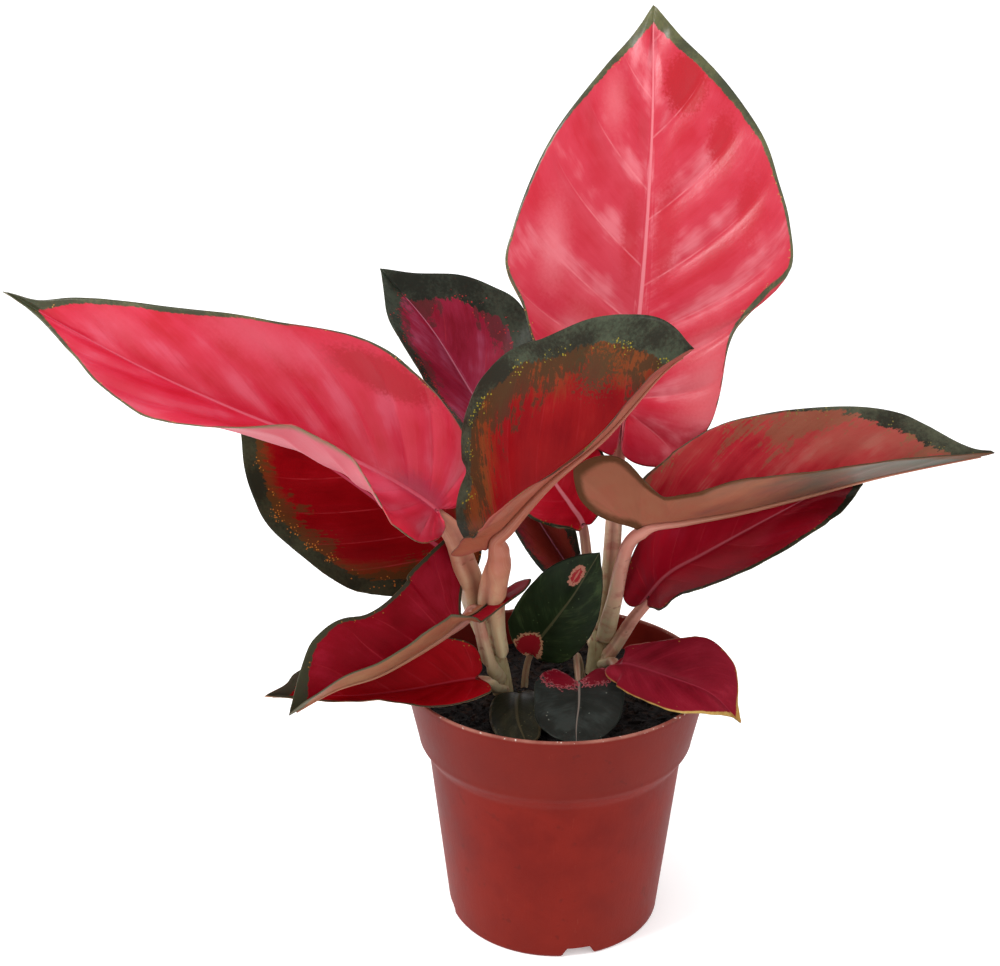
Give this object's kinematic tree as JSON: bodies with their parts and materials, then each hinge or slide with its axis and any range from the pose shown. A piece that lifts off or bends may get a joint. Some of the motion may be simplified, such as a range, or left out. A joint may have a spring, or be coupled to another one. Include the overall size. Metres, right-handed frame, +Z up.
{
  "type": "potted chinese evergreen",
  "caption": "Red Chinese evergreen (aglaonema) with pink, crimson and dark green leaves in a terracotta-coloured plastic nursery pot.",
  "frame": {"origin": "centre of the pot's foot, on the surface that the pot stands on", "axes": "+Z up, -Y towards the viewer of the front, +X to the viewer's right"},
  "size_m": [0.3582, 0.1686, 0.3522],
  "materials": {
    "terracotta_plastic": "satin, slightly scuffed, with a pale worn rim edge",
    "potting_mix": "rough, damp peat and bark",
    "cane": "satin, living stem",
    "leaf_pink": "satin, waxy",
    "leaf_mottled": "satin, waxy, red with a speckled green edge",
    "leaf_crimson": "satin, waxy",
    "leaf_dark_red": "satin, waxy, crimson with a wide grey-green edge",
    "leaf_green": "satin, waxy, dark green",
    "leaf_bluegreen": "satin, waxy, blue-green",
    "leaf_olive": "dull olive"
  },
  "bodies": {
    "root": {"pot": "terracotta_plastic", "soil": "potting_mix", "cane_left": "cane", "cane_right": "cane", "top_leaf": "leaf_pink", "left_leaf": "leaf_pink", "centre_leaf": "leaf_mottled", "right_leaf": "leaf_mottled", "back_leaf": "leaf_dark_red", "lower_left_leaf": "leaf_crimson", "small_back_leaf": "leaf_crimson", "lower_right_leaf": "leaf_crimson", "front_right_leaf": "leaf_crimson", "front_left_leaf": "leaf_crimson", "low_front_leaf": "leaf_crimson", "green_leaf": "leaf_green", "round_leaf": "leaf_bluegreen", "olive_leaf": "leaf_olive"}
  },
  "joints": []
}
